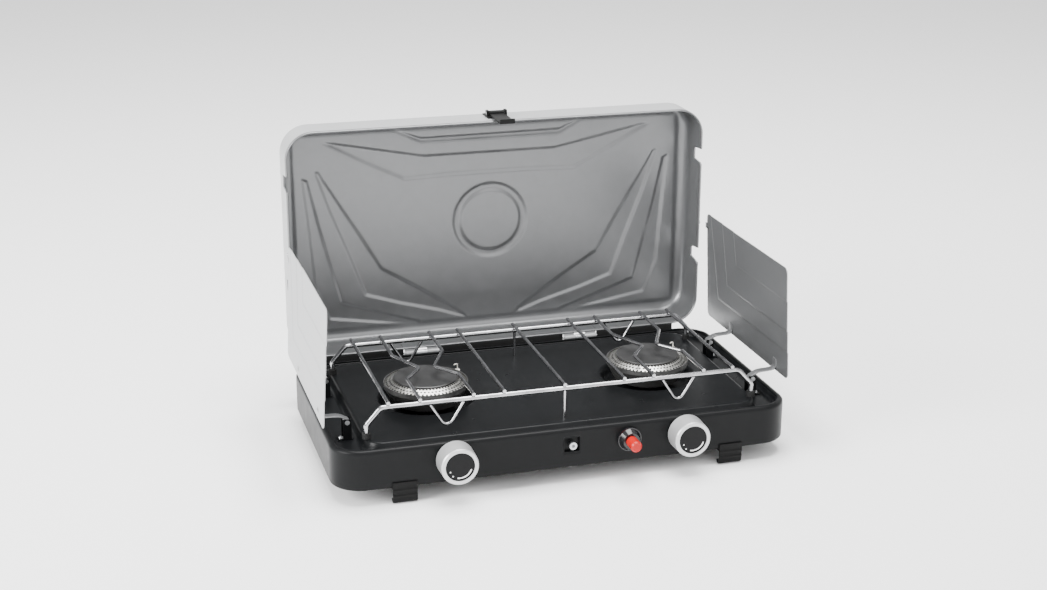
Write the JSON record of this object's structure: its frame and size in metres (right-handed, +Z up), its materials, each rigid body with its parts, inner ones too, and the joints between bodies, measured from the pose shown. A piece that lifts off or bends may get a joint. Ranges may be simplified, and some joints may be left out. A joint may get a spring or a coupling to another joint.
{
  "type": "camping stove",
  "caption": "Folding two-burner gas camping stove: steel base with hob deck, lift-off wire pan support, knobs, push igniter, folding side windshields and a hinged lid with a latch.",
  "frame": {"origin": "on the ground plane that the feet stand on, under the middle of the open stove's bounding box", "axes": "+X to the right seen from the front, +Y to the back, +Z up; the control knobs face -Y"},
  "size_m": [0.5326, 0.3624, 0.3494],
  "materials": {
    "black_steel": "black stove enamel on pressed steel, satin",
    "deck_steel": "black stove enamel on pressed steel, glossy",
    "bottom_steel": "thin black paint on sheet steel",
    "lid_steel": "grey hammered paint on pressed steel",
    "shield_steel": "grey paint on pressed steel",
    "chrome_wire": "chrome-plated steel wire",
    "zinc_steel": "bright zinc-plated steel",
    "burner_steel": "bare pressed steel, slightly heat-dulled",
    "cap_steel": "dull grey enamel",
    "tube_steel": "aluminised steel tube",
    "brass": "turned brass",
    "ceramic": "glazed white ceramic",
    "lead_silicone": "silicone insulation",
    "black_plastic": "black moulded nylon",
    "gloss_black": "glossy black plastic",
    "black_spring_steel": "black coated spring steel",
    "rubber": "black rubber",
    "red_plastic": "glossy red plastic",
    "knob_satin": "satin metallised plastic",
    "knob_dark": "dark grey insert"
  },
  "bodies": {
    "base": {"base_shell": "black_steel", "top_deck": "deck_steel", "bottom_plate": "bottom_steel", "bottom_screws": "zinc_steel", "foot_clip_left": "black_spring_steel", "foot_clip_right": "black_spring_steel", "rear_feet": "rubber", "catch_cup": "black_plastic", "catch_stud": "zinc_steel", "gas_inlet": "brass", "inlet_nut": "brass", "manifold_pipe": "tube_steel", "valve_left": "brass", "valve_right": "brass", "jet_left": "brass", "jet_right": "brass", "mixing_tube_left": "tube_steel", "mixing_tube_right": "tube_steel", "burner_bowl_left": "burner_steel", "burner_bowl_right": "burner_steel", "burner_ring_left": "burner_steel", "burner_ring_right": "burner_steel", "burner_cap_left": "cap_steel", "burner_cap_right": "cap_steel", "electrode_left": "ceramic", "electrode_right": "ceramic", "ignition_lead_left": "lead_silicone", "ignition_lead_right": "lead_silicone", "igniter_body": "black_plastic", "igniter_bezel": "gloss_black", "igniter_nut": "black_plastic", "support_grommets": "rubber", "windshield_brackets": "black_steel", "windshield_pins": "zinc_steel", "bracket_rivets": "zinc_steel", "hinge_base_leaves": "zinc_steel", "hinge_pins": "zinc_steel"},
    "igniter_push_button": {"igniter_button": "red_plastic"},
    "knob_left_turning": {"valve_stem_left": "brass", "knob_left": "knob_satin", "knob_face_left": "knob_dark"},
    "knob_right_turning": {"valve_stem_right": "brass", "knob_right": "knob_satin", "knob_face_right": "knob_dark"},
    "pan_support": {"support_front_rail": "chrome_wire", "support_back_rail": "chrome_wire", "support_cross_bars": "chrome_wire", "support_burner_bars": "chrome_wire", "support_hangers": "chrome_wire"},
    "windshield_left_panel": {"windshield_left": "shield_steel"},
    "windshield_right_panel": {"windshield_right": "shield_steel"},
    "lid": {"hinge_lid_leaves": "zinc_steel", "hinge_backing_plates": "zinc_steel", "lid_shell": "lid_steel", "lid_studs": "zinc_steel", "latch_bracket": "black_plastic", "latch_pin": "zinc_steel"},
    "latch": {"latch_lever": "black_plastic"}
  },
  "joints": [
    {"name": "lid_hinge", "type": "hinge", "parent": "base", "child": "lid", "pos_m": [0, 0.12635, 0.0615], "axis": [-1, 0, 0], "range_deg": [-90, 0]},
    {"name": "windshield_left_hinge", "type": "hinge", "parent": "base", "child": "windshield_left_panel", "pos_m": [-0.235, -0.02815, 0.0742], "axis": [0, -1, 0], "range_deg": [-84, 0]},
    {"name": "windshield_right_hinge", "type": "hinge", "parent": "base", "child": "windshield_right_panel", "pos_m": [0.235, -0.02815, 0.0742], "axis": [0, 1, 0], "range_deg": [-84, 0]},
    {"name": "knob_left_turn", "type": "hinge", "parent": "base", "child": "knob_left_turning", "pos_m": [-0.131, -0.15415, 0.044], "axis": [0, -1, 0], "range_deg": [0, 230]},
    {"name": "knob_right_turn", "type": "hinge", "parent": "base", "child": "knob_right_turning", "pos_m": [0.131, -0.15415, 0.044], "axis": [0, -1, 0], "range_deg": [0, 230]},
    {"name": "igniter_push", "type": "slide", "parent": "base", "child": "igniter_push_button", "axis": [0, 1, 0], "range_m": [0, 0.006], "stiffness_N_per_m": 1500, "springref_m": -0.002},
    {"name": "latch_hinge", "type": "hinge", "parent": "lid", "child": "latch", "pos_m": [0, 0.14965, 0.346], "axis": [-1, 0, 0], "range_deg": [0, 95]},
    {"name": "pan_support_lift", "type": "slide", "parent": "base", "child": "pan_support", "axis": [0, 0, 1], "range_m": [0, 0.06]}
  ]
}
